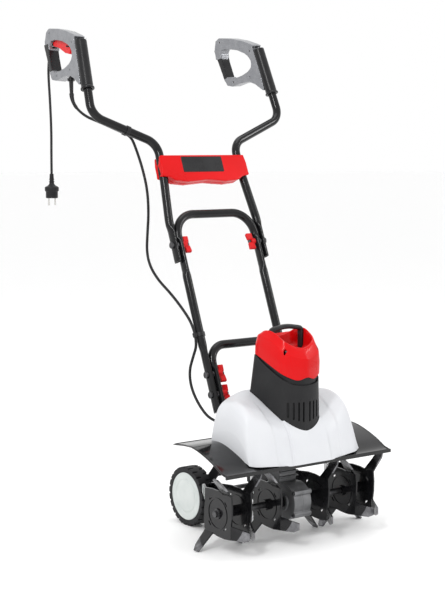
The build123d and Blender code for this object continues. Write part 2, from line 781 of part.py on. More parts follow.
def bored(points, z_from, depth, radius):
    """Row of holes or pegs along the handle plane's normal."""
    with BuildPart() as made:
        for x, s in points:
            add(rod(at(x, s, z_from), handle.z_dir, radius, depth))
    return made.part


with BuildPart() as panel_front:
    add(slab(panel, handle, 0.1, 17, 2.0))
    add(slab(panel_core, handle, 0, 13.5), mode=Mode.SUBTRACT)
    add(both_tubes.part, mode=Mode.SUBTRACT)
    add(bored(panel_screws, 0, 8, 1.8), mode=Mode.SUBTRACT)
save(panel_front.part, "panel_front")

with BuildPart() as panel_rear:
    add(slab(panel, handle, -15, -0.1, 2.0))
    add(slab(panel_core, handle, -12, 0), mode=Mode.SUBTRACT)
    add(both_tubes.part, mode=Mode.SUBTRACT)
    add(bored(panel_screws, -16, 17, 1.8), mode=Mode.SUBTRACT)
    add(bored(panel_screws, -16, 4, 3.5), mode=Mode.SUBTRACT)
save(panel_rear.part, "panel_rear")

# ---------------------------------------------------------------- D grips
grip_half = 15.0
toe_in = 0.05
ring_outer = [
    (14, 4), (34, 15), (50, 24), (76, 32), (112, 29), (150, 21), (172, 24), (184, 40), (200, 68),
    (218, 97), (223, 125), (217, 150), (203, 158), (150, 154), (105, 146), (66, 135), (45, 127),
]
ring_inner = [
    (64, 80), (67, 92), (78, 103), (92, 111), (122, 121), (165, 127), (190, 125), (197, 114),
    (188, 80), (174, 50), (159, 42), (133, 44), (105, 50), (80, 60), (67, 70),
]
cavity_outer = [
    (70, 38), (78, 36), (113, 33), (150, 25), (170, 28), (181, 42), (197, 70), (215, 99),
    (219, 125), (214, 148), (202, 154), (150, 150), (106, 142), (70, 131),
]
cavity_inner = [
    (61, 80), (64, 94), (76, 106), (91, 114.5), (121, 124.5), (165, 130.5), (192, 128.5),
    (200.5, 114), (191, 79), (176.5, 48), (160, 38.5), (133, 40.5), (104, 46.5), (78, 57), (64, 69),
]
pad_zone = [(170, 108), (232, 96), (215, 36), (160, 50)]
bar_core = [
    (176.3, 48.9), (190.4, 79.2), (199.4, 113.4), (199.4, 128), (220.7, 128), (220.5, 125.4),
    (215.7, 98), (197.9, 69), (181.8, 41.2), (170, 26), (160, 26), (160, 40),
]
screw_spots = [(200, 146), (70, 116), (73, 45), (145, 33)]
trigger_shape = [
    (91, 101), (94, 87), (119, 91), (159, 107), (188, 112), (194, 122), (165, 130), (130, 124),
    (105, 113),
]
trigger_slot = [(86, 84), (84, 104), (98, 118), (128, 131), (165, 138), (199, 136), (199, 108)]
trigger_pivot = (102, 107)
button_w = 138.0


def grip_plane(sign):
    foot = at(sign * sleeve_foot[0], sleeve_foot[1])
    top = at(sign * sleeve_top[0], sleeve_top[1])
    back = Vector(-toe_in * sign, 1, 0).normalized()
    along = (top - foot).normalized()
    up = (along - back * along.dot(back)).normalized()
    return Plane(origin=foot, x_dir=back, z_dir=back.cross(up))


def sleeve_axis(sign):
    foot = at(sign * sleeve_foot[0], sleeve_foot[1])
    top = at(sign * sleeve_top[0], sleeve_top[1])
    return foot, (top - foot).normalized()


def grip_peg(plane, spot, low, high, radius):
    return rod(plane.from_local_coords((*spot, low)), plane.z_dir, radius, high - low)


for name, sign in (("left", -1), ("right", 1)):
    plane = grip_plane(sign)
    foot, along = sleeve_axis(sign)
    with BuildPart() as sleeve:
        add(rod(foot - along * 3, along, 15.5, 131))
        add(rod(foot - along * 6, along, 18, 5))
        add(rod(foot - along * 8, along, tube_r, 123.2), mode=Mode.SUBTRACT)
    save(sleeve.part, f"grip_sleeve_{name}")
    with BuildPart() as ring:
        add(slab(ring_outer, plane, -grip_half, grip_half, 3.0))
        add(slab(ring_inner, plane, -grip_half - 1, grip_half + 1, 2.5), mode=Mode.SUBTRACT)
        with BuildPart(mode=Mode.PRIVATE) as hollow:
            add(slab(cavity_outer, plane, -grip_half + 3, grip_half - 3))
            add(slab(cavity_inner, plane, -grip_half, grip_half), mode=Mode.SUBTRACT)
            add(slab(pad_zone, plane, -20, 20), mode=Mode.SUBTRACT)
            for spot in screw_spots:
                add(grip_peg(plane, spot, -20, 20, 5.0), mode=Mode.SUBTRACT)
        add(hollow.part, mode=Mode.SUBTRACT)
        add(rod(foot - along * 20, along, 15.5, 160), mode=Mode.SUBTRACT)
        add(rod(foot - along * 20, along, 18.2, 20), mode=Mode.SUBTRACT)
        for spot in screw_spots:
            add(grip_peg(plane, spot, -20, 20, 1.6), mode=Mode.SUBTRACT)
            add(grip_peg(plane, spot, -20, -grip_half + 3, 3.2), mode=Mode.SUBTRACT)
        if sign < 0:
            add(slab(trigger_slot, plane, -6.4, 6.4), mode=Mode.SUBTRACT)
            add(grip_peg(plane, trigger_pivot, -13, 13, 2.0), mode=Mode.SUBTRACT)
            button_foot = plane.from_local_coords((200, button_w, 0))
            add(rod(button_foot, plane.x_dir, 6.2, 30), mode=Mode.SUBTRACT)
            relief_foot = plane.from_local_coords((219, 118, 0))
            relief_end = plane.from_local_coords((223, 86, 0))
            relief_dir = (relief_end - relief_foot).normalized()
            add(rod(relief_foot - relief_dir, relief_dir, 5.0, 34), mode=Mode.SUBTRACT)
            add(rod(plane.from_local_coords((92, 20, 0)), plane.y_dir, 6.0, 30), mode=Mode.SUBTRACT)
    # the rubber pad wraps the rear bar, which is sunk 2.5 mm below it
    with BuildPart() as pad:
        add(slab(ring_outer, plane, -grip_half, grip_half, 3.0))
        add(slab(ring_inner, plane, -grip_half - 1, grip_half + 1, 2.5), mode=Mode.SUBTRACT)
        add(slab(pad_zone, plane, -20, 20), mode=Mode.INTERSECT)
        add(slab(bar_core, plane, -grip_half + 2.5, grip_half - 2.5), mode=Mode.SUBTRACT)
        if sign < 0:
            add(rod(relief_foot - relief_dir, relief_dir, 5.0, 34), mode=Mode.SUBTRACT)
    if sign < 0:
        pad_left = pad.part
    else:
        pad_right = pad.part
    with BuildPart() as body:
        add(ring.part)
        add(pad.part, mode=Mode.SUBTRACT)
    frame_square = [(-40, -40), (260, -40), (260, 200), (-40, 200)]
    with BuildPart() as half_a:
        add(body.part)
        add(slab(frame_square, plane, 0, 40), mode=Mode.INTERSECT)
    with BuildPart() as half_b:
        add(body.part)
        add(slab(frame_square, plane, -40, 0), mode=Mode.INTERSECT)
    outer, inner = (half_a, half_b) if sign > 0 else (half_b, half_a)
    save(outer.part, f"grip_{name}_outer")
    save(inner.part, f"grip_{name}_inner")

with BuildPart() as grip_pads:
    add(pad_left)
    add(pad_right)
save(grip_pads.part, "grip_pads")

left = grip_plane(-1)


def left_at(r, w, n=0.0):
    return left.from_local_coords((r, w, n))


def left_way(r, w):
    return left_at(r, w) - left_at(0, 0)


with BuildPart() as trigger:
    add(slab(trigger_shape, left, -6, 6))
    add(grip_peg(left, trigger_pivot, -7, 7, 2.0 + run), mode=Mode.SUBTRACT)
save(trigger.part, "trigger")

with BuildPart() as lock_button:
    add(rod(left_at(211, button_w), left.x_dir, 6.0, 15))
    add(rod(left_at(211, button_w), left.x_dir, 7.5, 3))
save(lock_button.part, "lock_button")

with BuildPart() as switch_block:
    add(slab([(118, 138), (118, 142), (165, 149), (193, 149), (193, 141), (165, 141)], left, -8, 8))
save(switch_block.part, "switch_block")

with BuildPart() as handle_screws:
    for x, s in panel_screws:
        add(rod(at(x, s, -14), handle.z_dir, 1.8, 20))
        add(rod(at(x, s, -15), handle.z_dir, 3.4, 2.4))
    for sign in (-1, 1):
        plane = grip_plane(sign)
        for spot in screw_spots:
            add(grip_peg(plane, spot, -grip_half + 2, grip_half - 3, 1.6))
            add(grip_peg(plane, spot, -grip_half + 1, -grip_half + 3, 3.1))
    add(grip_peg(left, trigger_pivot, -13, 13, 2.0))
save(handle_screws.part, "handle_screws")

# Case, cowl and skirt screws, each group as separate solids of one node.
with BuildPart() as chassis_screws:
    for y, z in case_screws:
        add(rod((-case_half - 3, y, z), (1, 0, 0), 3.0, 2 * case_half + 6))
    for sign in (-1, 1):
        add(rod((sign * 45, -34, 457), (0, 0, 1), 2.5, 12))
        add(rod((sign * 45, -34, 469), (0, 0, 1), 4.6, 3))
save(chassis_screws.part, "chassis_screws")

# ---------------------------------------------------------------- cables and plug
cable_r = 3.5
cord_r = 3.25


def cable(points, radius, label):
    """Straight runs joined by tangent arcs; prints the arc radii."""
    points = [Vector(*p) for p in points]
    radii = []
    for a, b, c in zip(points, points[1:], points[2:]):
        turn = (b - a).get_angle(c - b)
        short = min((b - a).length, (c - b).length)
        radii.append(0.45 * short / math.tan(math.radians(turn) / 2))
    print(label, "radii", [round(r, 1) for r in radii])
    with BuildPart() as made:
        with BuildLine() as route:
            FilletPolyline(*points, radius=radii)
        with BuildSketch(Plane(origin=points[0], z_dir=points[1] - points[0])):
            Circle(radius)
        sweep()
    length = route.wires()[0].length
    print(label, "length", round(length, 1), "volume ratio",
          round(made.part.volume / (math.pi * radius**2 * length), 4))
    print(label, "ends", points[0], points[1] - points[0])
    return made.part


def horn_at(x, n=0.0):
    """Point over the left tube's outward run at x."""
    share = (x + bend_low[0]) / (bend_low[0] - bend_up[0])
    return at(x, bend_low[1] + share * (bend_up[1] - bend_low[1]), n)


clip_up_x = -204.0
clip_up_way = (horn_at(-194) - horn_at(-214)).normalized()
clip_low_s = 527.7
ride = tube_r + cable_r + 1.0

gland_dir = left_way(-6, -38).normalized()
gland_foot = left_at(92, 28)
gland_end = gland_foot + gland_dir * 42
route = [
    gland_end,
    gland_end + gland_dir * 24,
    (-281, 500, 1034),
    (-259, 462, 1018),
    horn_at(-222, -ride),
    horn_at(-186, -ride),
    (-167, 433, 950),
    (-159, 417, 903),
    (-157, 397, 848),
    (-157, 391, 790),
    (-158, 396, 733),
    (-158, 400, 687),
    (-157, 386, 650),
    (-155, 350, 617),
    (-151, 305, 590),
    (-145, 262, 556),
    at(-137.4, 556.0),
    at(-137.4, 504.0),
    (-143, 214, 436),
    (-149, 222, 402),
    (-151, 214, 365),
    (-150, 190, 330),
    (-145, 160, 300),
    (-140, 134, gland_z),
    (-140, 112, gland_z),
]
save(cable(route, cable_r, "switch_cable"), "switch_cable")

with BuildPart() as cable_gland_upper:
    with BuildSketch(Plane(origin=gland_foot, z_dir=gland_dir)):
        Circle(5.9)
    with BuildSketch(Plane(origin=gland_end, z_dir=gland_dir)):
        Circle(4.6)
    loft(ruled=True)
    add(rod(gland_foot + gland_dir * 3, gland_dir, 9.5, 6))
save(cable_gland_upper.part, "cable_gland_upper")

with BuildPart() as cable_gland_lower:
    add(rod((-140, 112, gland_z), (0, -1, 0), 6.0, 26))
    add(rod((-140, 108, gland_z), (0, -1, 0), 9.0, 6))
save(cable_gland_lower.part, "cable_gland_lower")


tube_gap, cable_gap = 0.02, 0.15


def clip(tube_at, tube_dir, cable_at, tube_bore):
    with BuildPart() as made:
        for centre, radius in ((tube_at, tube_bore + 2), (cable_at, cable_r + 2.5)):
            add(rod(centre - tube_dir * 5, tube_dir, radius, 10))
        add(rod(tube_at - tube_dir * 6, tube_dir, tube_bore + tube_gap, 12), mode=Mode.SUBTRACT)
        add(rod(cable_at - tube_dir * 6, tube_dir, cable_r + cable_gap, 12), mode=Mode.SUBTRACT)
    return made.part


save(clip(horn_at(clip_up_x), clip_up_way, horn_at(clip_up_x, -ride), tube_r), "cable_clip_upper")
low_way = Vector(*slope).normalized()
save(clip(at(-mid_x, clip_low_s), low_way, at(-137.4, clip_low_s), tube_r), "cable_clip_lower")

turn_one = relief_end + relief_dir * 24
cord_route = [relief_end, turn_one] + [
    left_at(r, w) for r, w in ((221, 27), (211, -14), (201, -62), (192, -113), (187, -168))
]
cord_route.append(cord_route[-1] - Vector(0, 0, 52))
save(cable(cord_route, cord_r, "power_cord"), "power_cord")

with BuildPart() as cord_relief:
    with BuildSketch(Plane(origin=relief_foot, z_dir=relief_dir)):
        Circle(4.9)
    with BuildSketch(Plane(origin=relief_end, z_dir=relief_dir)):
        Circle(4.2)
    loft(ruled=True)
save(cord_relief.part, "cord_relief")

plug_foot = cord_route[-1]
plug_dir = (plug_foot - cord_route[-2]).normalized()
plug_plane = Plane(origin=plug_foot, x_dir=(1, 0, 0), z_dir=plug_dir)
pin_r, pin_root_r = 2.4, 1.8
pin_spots = [(-9.5, 0), (9.5, 0)]
with BuildPart() as plug_body:
    with BuildSketch(plug_plane):
        Circle(5.5)
    with BuildSketch(plug_plane.offset(18)):
        Circle(9.5)
    loft(ruled=True)
    with BuildSketch(plug_plane.offset(18)):
        Circle(9.5)
    with BuildSketch(plug_plane.offset(38)):
        Circle(15.5)
    loft(ruled=True)
    with BuildSketch(plug_plane.offset(38)):
        Circle(18.5)
    extrude(amount=7)
    with BuildSketch(plug_plane.offset(45)):
        Circle(17.0)
    extrude(amount=19)
    with BuildSketch(plug_plane.offset(44)):
        with Locations(*pin_spots):
            Circle(pin_root_r)
    extrude(amount=20, mode=Mode.SUBTRACT)
save(plug_body.part, "plug_body")

# each pin is a 4.8 mm peg on a thinner root moulded into the plug
with BuildPart() as plug_pins:
    with BuildSketch(plug_plane.offset(44)):
        with Locations(*pin_spots):
            Circle(pin_root_r)
    extrude(amount=20)
    with BuildSketch(plug_plane.offset(64)):
        with Locations(*pin_spots):
            Circle(pin_r)
    extrude(amount=19)
save(plug_pins.part, "plug_pins")
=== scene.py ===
import json
import math

import bmesh
import bpy
from mathutils import Matrix, Vector

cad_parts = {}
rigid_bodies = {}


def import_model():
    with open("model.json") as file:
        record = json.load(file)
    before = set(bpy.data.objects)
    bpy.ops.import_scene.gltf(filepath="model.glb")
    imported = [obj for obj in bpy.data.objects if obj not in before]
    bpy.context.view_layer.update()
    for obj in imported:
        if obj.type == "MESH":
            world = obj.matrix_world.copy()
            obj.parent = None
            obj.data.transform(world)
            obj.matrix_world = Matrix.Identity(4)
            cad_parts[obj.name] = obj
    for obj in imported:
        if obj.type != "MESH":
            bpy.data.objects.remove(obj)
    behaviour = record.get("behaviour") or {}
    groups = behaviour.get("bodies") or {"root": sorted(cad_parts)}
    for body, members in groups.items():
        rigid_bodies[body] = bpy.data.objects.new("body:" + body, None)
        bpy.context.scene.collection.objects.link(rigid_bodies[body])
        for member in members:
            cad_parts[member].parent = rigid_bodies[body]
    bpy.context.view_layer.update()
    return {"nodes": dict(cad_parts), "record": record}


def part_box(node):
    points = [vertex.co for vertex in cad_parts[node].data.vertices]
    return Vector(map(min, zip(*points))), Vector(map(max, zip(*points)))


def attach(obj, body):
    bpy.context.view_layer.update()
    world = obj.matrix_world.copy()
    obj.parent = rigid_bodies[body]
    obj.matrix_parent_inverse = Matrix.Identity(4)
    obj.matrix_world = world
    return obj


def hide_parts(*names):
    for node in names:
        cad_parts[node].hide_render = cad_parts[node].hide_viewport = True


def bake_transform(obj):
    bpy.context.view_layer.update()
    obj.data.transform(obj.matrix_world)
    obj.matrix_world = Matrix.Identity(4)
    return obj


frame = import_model()

OY = -0.301358          # the row frame's y of the tine shaft, in metres
SHAFT_Z = 95            # height of the tine shaft, in millimetres
HANDLE_LEAN = math.radians(21.8)
scene_objects = bpy.context.scene.collection.objects


def mm(x, y, z):
    """Millimetres from the tine shaft's middle, with z from the floor, to the row frame."""
    return Vector((x / 1000, y / 1000 + OY, z / 1000))


def curve(name, points, radius=0.0, cyclic=False):
    """NURBS spline through its control points, drawn as a round cord when a radius is given."""
    data = bpy.data.curves.new(name, "CURVE")
    data.dimensions = "3D"
    data.resolution_u = 12
    data.bevel_depth = radius
    data.bevel_resolution = 5
    data.use_fill_caps = True
    spline = data.splines.new("NURBS")
    spline.points.add(len(points) - 1)
    for point, place in zip(spline.points, points):
        point.co = (*place, 1)
    spline.order_u = 3
    spline.use_cyclic_u = cyclic
    spline.use_endpoint_u = not cyclic
    made = bpy.data.objects.new(name, data)
    scene_objects.link(made)
    return made


# ---------------------------------------------------------------- camera
cam = bpy.data.cameras.new("camera")
cam.sensor_fit = "AUTO"
cam.sensor_width = 36.0
cam.lens = 84.6
cam.clip_end = 50.0
camera = bpy.data.objects.new("camera", cam)
scene_objects.link(camera)
eye = Vector((-2.1315, -2.634 + OY, 0.9615))
look = Vector((0.5860, 0.8028, -0.1097)).normalized()
side = look.cross(Vector((0, 0, 1))).normalized()
up = side.cross(look)
turn = Matrix((side, up, -look)).transposed().to_4x4()
camera.matrix_world = Matrix.Translation(eye) @ turn
bpy.context.scene.camera = camera

# ---------------------------------------------------------------- cords
mains_route = [
    (-0.2775, 0.3808, 1.1901),
    (-0.2788, 0.3838, 1.1663),
    (-0.2811, 0.3790, 1.1312),
    (-0.2841, 0.3691, 1.0903),
    (-0.2875, 0.3592, 1.0424),
    (-0.2910, 0.3504, 0.9915),
    (-0.2946, 0.3456, 0.9366),
    (-0.2946, 0.3456, 0.8846),
]
power_cord = curve("mains_cord", mains_route, 0.00325)

switch_route = [
    (-0.2903, 0.2437, 1.0908), (-0.2920, 0.2400, 1.0671), (-0.2810, 0.1986, 1.0340),
    (-0.2590, 0.1606, 1.0180), (-0.2220, 0.1321, 0.9969), (-0.1860, 0.1264, 0.9827),
    (-0.1670, 0.1316, 0.9500), (-0.1590, 0.1156, 0.9030), (-0.1570, 0.0956, 0.8480),
    (-0.1570, 0.0896, 0.7900), (-0.1580, 0.0946, 0.7330), (-0.1580, 0.0986, 0.6870),
    (-0.1570, 0.0846, 0.6500), (-0.1550, 0.0486, 0.6170), (-0.1510, 0.0036, 0.5900),
    (-0.1450, -0.0394, 0.5560), (-0.1374, -0.0769, 0.5162), (-0.1374, -0.0962, 0.4680),
    (-0.1430, -0.0874, 0.4360), (-0.1490, -0.0794, 0.4020), (-0.1510, -0.0874, 0.3650),
    (-0.1500, -0.1114, 0.3300), (-0.1450, -0.1414, 0.3000), (-0.1400, -0.1674, 0.2880),
    (-0.1400, -0.1894, 0.2880),
]


def path_of(route):
    """Points along the smooth line of a route, read from its NURBS spline."""
    line = curve("line", route)
    made = bpy.data.meshes.new_from_object(line)
    points = [v.co.copy() for v in made.vertices]
    bpy.data.objects.remove(line)
    bpy.data.meshes.remove(made)
    return points


def nodes_of(name):
    """Material with an empty Principled surface, its node tree and that surface."""
    mat = bpy.data.materials.new(name)
    mat.use_nodes = True
    tree = mat.node_tree
    tree.nodes.clear()
    out = tree.nodes.new("ShaderNodeOutputMaterial")
    bsdf = tree.nodes.new("ShaderNodeBsdfPrincipled")
    tree.links.new(bsdf.outputs[0], out.inputs[0])
    return mat, tree, bsdf


def surface(name, low, high, rough, metal, grain, bump, bump_scale, coat=0.0, spec=0.5):
    """Two close tones and a roughness range that follow one noise, and a fine bump from a second."""
    mat, tree, bsdf = nodes_of(name)
    new, link = tree.nodes.new, tree.links.new
    coord = new("ShaderNodeTexCoord")
    broad = new("ShaderNodeTexNoise")
    broad.inputs["Scale"].default_value = grain
    broad.inputs["Detail"].default_value = 6.0
    link(coord.outputs["Object"], broad.inputs["Vector"])
    ramp = new("ShaderNodeValToRGB")
    ramp.color_ramp.elements[0].position = 0.3
    ramp.color_ramp.elements[1].position = 0.7
    ramp.color_ramp.elements[0].color = (*low, 1)
    ramp.color_ramp.elements[1].color = (*high, 1)
    link(broad.outputs["Fac"], ramp.inputs[0])
    link(ramp.outputs[0], bsdf.inputs["Base Color"])
    span = new("ShaderNodeMapRange")
    span.inputs["To Min"].default_value = rough[0]
    span.inputs["To Max"].default_value = rough[1]
    link(broad.outputs["Fac"], span.inputs["Value"])
    link(span.outputs[0], bsdf.inputs["Roughness"])
    fine = new("ShaderNodeTexNoise")
    fine.inputs["Scale"].default_value = bump_scale
    fine.inputs["Detail"].default_value = 4.0
    link(coord.outputs["Object"], fine.inputs["Vector"])
    relief = new("ShaderNodeBump")
    relief.inputs["Strength"].default_value = bump
    relief.inputs["Distance"].default_value = 0.0006
    link(fine.outputs["Fac"], relief.inputs["Height"])
    link(relief.outputs[0], bsdf.inputs["Normal"])
    bsdf.inputs["Metallic"].default_value = metal
    bsdf.inputs["Specular IOR Level"].default_value = spec
    bsdf.inputs["Coat Weight"].default_value = coat
    bsdf.inputs["Coat Roughness"].default_value = 0.08
    return mat


# darker tone, lighter tone, roughness range, metallic, grain scale, bump, bump scale, coat, specular
FINISHES = {
    "gearcase": ((0.12, 0.122, 0.126), (0.2, 0.202, 0.208), (0.35, 0.5), 0.55, 30, 0.5, 700),
    "bearing_steel": ((0.5, 0.5, 0.5), (0.65, 0.65, 0.65), (0.2, 0.3), 1.0, 40, 0.1, 400),
    "mount_black": ((0.006, 0.006, 0.007), (0.015, 0.015, 0.016), (0.35, 0.5), 0.1, 30, 0.4, 700, 0, 0.25),
    "motor_steel": ((0.3, 0.3, 0.31), (0.45, 0.45, 0.46), (0.25, 0.4), 1.0, 40, 0.1, 400),
    "brass": ((0.5, 0.35, 0.12), (0.62, 0.46, 0.2), (0.25, 0.35), 1.0, 40, 0.1, 400),
    "fender_black": ((0.004, 0.004, 0.0045), (0.009, 0.009, 0.01), (0.1, 0.18), 0, 12, 0.03, 200, 0.4, 0.2),
    "frame_black": ((0.004, 0.004, 0.0045), (0.009, 0.009, 0.01), (0.12, 0.2), 0, 25, 0.04, 500, 0.35, 0.1),
    "bracket_black": ((0.006, 0.006, 0.007), (0.012, 0.012, 0.013), (0.25, 0.4), 0, 25, 0.1, 500, 0, 0.22),
    "skirt_white": ((0.60, 0.61, 0.635), (0.635, 0.645, 0.665), (0.36, 0.46), 0, 8, 0.08, 900, 0, 0.4),
    "cowl_grey": ((0.012, 0.012, 0.013), (0.019, 0.019, 0.02), (0.45, 0.58), 0, 20, 0.35, 1100, 0, 0.22),
    "red_plastic": ((0.56, 0.002, 0.003), (0.63, 0.003, 0.005), (0.24, 0.34), 0, 10, 0.05, 900, 0.12, 0.12),
    "nut_red": ((0.5, 0.003, 0.005), (0.6, 0.006, 0.008), (0.35, 0.48), 0, 60, 0.1, 900, 0, 0.25),
    "trigger_red": ((0.6, 0.006, 0.008), (0.7, 0.01, 0.014), (0.3, 0.4), 0, 60, 0.08, 900, 0, 0.3),
    "button_black": ((0.008, 0.008, 0.008), (0.014, 0.014, 0.014), (0.4, 0.5), 0, 60, 0.2, 900, 0, 0.25),
    "handle_black": ((0.008, 0.008, 0.009), (0.016, 0.016, 0.017), (0.3, 0.42), 0, 40, 0.3, 1000, 0, 0.3),
    "tine_black": ((0.004, 0.004, 0.005), (0.011, 0.011, 0.012), (0.12, 0.24), 0, 35, 0.14, 260, 0.35, 0.15),
    "bolt_steel": ((0.05, 0.05, 0.052), (0.12, 0.12, 0.125), (0.3, 0.42), 0.9, 60, 0.1, 600),
    "grip_silver": ((0.22, 0.225, 0.24), (0.28, 0.285, 0.30), (0.2, 0.3), 0.5, 50, 0.1, 1400, 0, 0.45),
    "grip_rubber": ((0.005, 0.005, 0.006), (0.012, 0.012, 0.013), (0.22, 0.34), 0, 60, 0.2, 900, 0, 0.3),
    "cable_black": ((0.007, 0.007, 0.008), (0.014, 0.014, 0.015), (0.38, 0.5), 0, 80, 0.15, 900, 0, 0.25),
    "pin_brass": ((0.6, 0.59, 0.57), (0.72, 0.71, 0.69), (0.18, 0.28), 1.0, 40, 0.1, 400),
    "rim_white": ((0.52, 0.56, 0.545), (0.60, 0.63, 0.615), (0.42, 0.5), 0, 30, 0.12, 500),
    "tyre_black": ((0.007, 0.007, 0.008), (0.016, 0.016, 0.018), (0.5, 0.68), 0, 60, 0.4, 700, 0, 0.25),
    # blade tips: painted reflection, lighter metal tones that stand in for the bright floor mirrored on the
    # glossy black tips
    "tip_painted_reflection": ((0.08, 0.08, 0.085), (0.26, 0.26, 0.27), (0.12, 0.3), 1.0, 70, 0.15, 500),
    "label_black": ((0.008, 0.008, 0.009), (0.014, 0.014, 0.015), (0.2, 0.3), 0, 30, 0.05, 700, 0, 0.3),
}
MAT = {name: surface(name, *finish) for name, finish in FINISHES.items()}

for row in frame["record"]["subparts"]:
    node = frame["nodes"][row["node"]]
    node.data.materials.clear()
    node.data.materials.append(MAT[row["material_slot"]])
SLOT = {row["node"]: row["material_slot"] for row in frame["record"]["subparts"]}
BODY = {node: name for name, nodes in frame["record"]["behaviour"]["bodies"].items() for node in nodes}


def settle(piece, angle=38.0):
    """Apply the modifiers, smooth the faces and keep the edges sharper than the angle."""
    made = bpy.data.meshes.new_from_object(piece.evaluated_get(bpy.context.evaluated_depsgraph_get()))
    piece.modifiers.clear()
    piece.data = made
    work = bmesh.new()
    work.from_mesh(made)
    for face in work.faces:
        face.smooth = True
    for edge in work.edges:
        edge.smooth = len(edge.link_faces) == 2 and edge.calc_face_angle(0) < math.radians(angle)
    work.to_mesh(made)
    work.free()


def loose(name, mesh):
    """An object of the mesh, linked to the scene."""
    made = bpy.data.objects.new(name, mesh)
    scene_objects.link(made)
    return made


def place(name, mesh, material, body, slot):
    """A finished piece: the mesh in its material, riding on its body."""
    made = loose(name, mesh)
    mesh.materials.clear()
    mesh.materials.append(material)
    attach(made, body)
    return made


def merged(mesh, parts):
    """The mesh, filled with copies of the parts."""
    work = bmesh.new()
    for part in parts:
        work.from_mesh(part)
    work.to_mesh(mesh)
    work.free()
    return mesh


def softened(voxel, rounds, node, *others, swell=0.0):
    """A moulded version of CAD nodes: the same shape in one piece with its edges rounded off."""
    mesh = frame["nodes"][node].data.copy()
    if others:
        merged(mesh, [frame["nodes"][name].data for name in (node, *others)])
    made = place(node + "_moulded", mesh, MAT[SLOT[node]], BODY[node], SLOT[node])
    remesh = made.modifiers.new("voxels", "REMESH")
    remesh.mode = "VOXEL"
    remesh.voxel_size = voxel
    relax = made.modifiers.new("relax", "SMOOTH")
    relax.factor = 0.5
    relax.iterations = rounds
    if swell:
        fuller = made.modifiers.new("fuller", "DISPLACE")
        fuller.strength = swell
        fuller.mid_level = 0.0
    settle(made, 60)
    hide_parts(node, *others)
    return made


def grid(name, rows, closed=False):
    """Mesh of quads over rows of points."""
    verts = [tuple(point) for row in rows for point in row]
    wide = len(rows[0])
    faces = []
    for j in range(len(rows) - 1):
        for i in range(wide if closed else wide - 1):
            k = (i + 1) % wide
            faces.append((j * wide + i, j * wide + k, (j + 1) * wide + k, (j + 1) * wide + i))
    mesh = bpy.data.meshes.new(name)
    mesh.from_pydata(verts, [], faces)
    return mesh


def along(line, x):
    """Height of a polyline of (x, z) points at x."""
    if x <= line[0][0]:
        return line[0][1]
    for (x0, z0), (x1, z1) in zip(line, line[1:]):
        if x <= x1:
            return z0 + (z1 - z0) * (x - x0) / (x1 - x0)
    return line[-1][1]


def spline_through(points, steps):
    """Catmull-Rom points through a list of tuples."""
    out = []
    for i in range(len(points) - 1):
        p0, p1 = points[max(i - 1, 0)], points[i]
        p2, p3 = points[i + 1], points[min(i + 2, len(points) - 1)]
        for k in range(steps):
            t = k / steps
            out.append(tuple(
                0.5 * (2 * b + (c - a) * t + (2 * a - 5 * b + 4 * c - d) * t * t
                       + (3 * b - a - 3 * c + d) * t ** 3)
                for a, b, c, d in zip(p0, p1, p2, p3)
            ))
    out.append(tuple(points[-1]))
    return out


def ease(low, high, x):
    """0 below low and 1 above high, with a smooth step between them."""
    t = min(max((x - low) / (high - low), 0.0), 1.0)
    return t * t * (3 - 2 * t)


def thicken(piece, thickness):
    """Give a surface its wall, on the inner side."""
    shell = piece.modifiers.new("shell", "SOLIDIFY")
    shell.thickness = thickness
    shell.offset = -1.0
    shell.use_even_offset = True


def cut(piece, cutter, how="DIFFERENCE"):
    """Take the cutter away from the piece, or keep only what lies inside it, and remove the cutter."""
    tool = piece.modifiers.new("cut", "BOOLEAN")
    tool.operation = how
    tool.solver = "EXACT"
    tool.object = cutter
    settle(piece)
    bpy.data.objects.remove(cutter)


def circle(count):
    """Angles of a ring of that many points."""
    return [2 * math.pi * k / count for k in range(count)]


def prism(name, outline_rows):
    """Closed solid from rows of rings, with flat ends."""
    mesh = grid(name, outline_rows, closed=True)
    work = bmesh.new()
    work.from_mesh(mesh)
    work.verts.ensure_lookup_table()
    wide = len(outline_rows[0])
    for start in (0, (len(outline_rows) - 1) * wide):
        work.faces.new([work.verts[start + i] for i in range(wide)])
    bmesh.ops.recalc_face_normals(work, faces=work.faces)
    work.to_mesh(mesh)
    work.free()
    return mesh


# ---------------------------------------------------------------- the mains cord and the switch cable
power_cord.data.materials.append(MAT["cable_black"])
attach(power_cord, "upper_handle")
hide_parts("power_cord")
plug_low, plug_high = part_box("plug_body")
plug_x, plug_y = (plug_low[0] + plug_high[0]) / 2, (plug_low[1] + plug_high[1]) / 2
plug_profile = [        # share of the plug's height, share of its radius
    (1.0, 0.19), (0.985, 0.28), (0.80, 0.31), (0.79, 0.36), (0.76, 0.36), (0.75, 0.31),
    (0.70, 0.32), (0.69, 0.38), (0.66, 0.38), (0.65, 0.33), (0.60, 0.35), (0.56, 0.42),
    (0.52, 0.55), (0.49, 0.74), (0.47, 0.88), (0.45, 0.98), (0.43, 1.0), (0.31, 1.0),
    (0.29, 0.97), (0.27, 0.88), (0.25, 0.86), (0.02, 0.86), (0.0, 0.82),
]
plug_radius = (plug_high[0] - plug_low[0]) / 2
plug_rows = []
for share, width in plug_profile:
    z = plug_low[2] + (plug_high[2] - plug_low[2]) * share
    radius = plug_radius * width
    plug_rows.append([(plug_x + radius * math.cos(a), plug_y + radius * math.sin(a), z) for a in circle(40)])
plug = place("plug_moulded", prism("plug", plug_rows),
             MAT[SLOT["plug_body"]], BODY["plug_body"], SLOT["plug_body"])
settle(plug, 35)
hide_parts("plug_body")


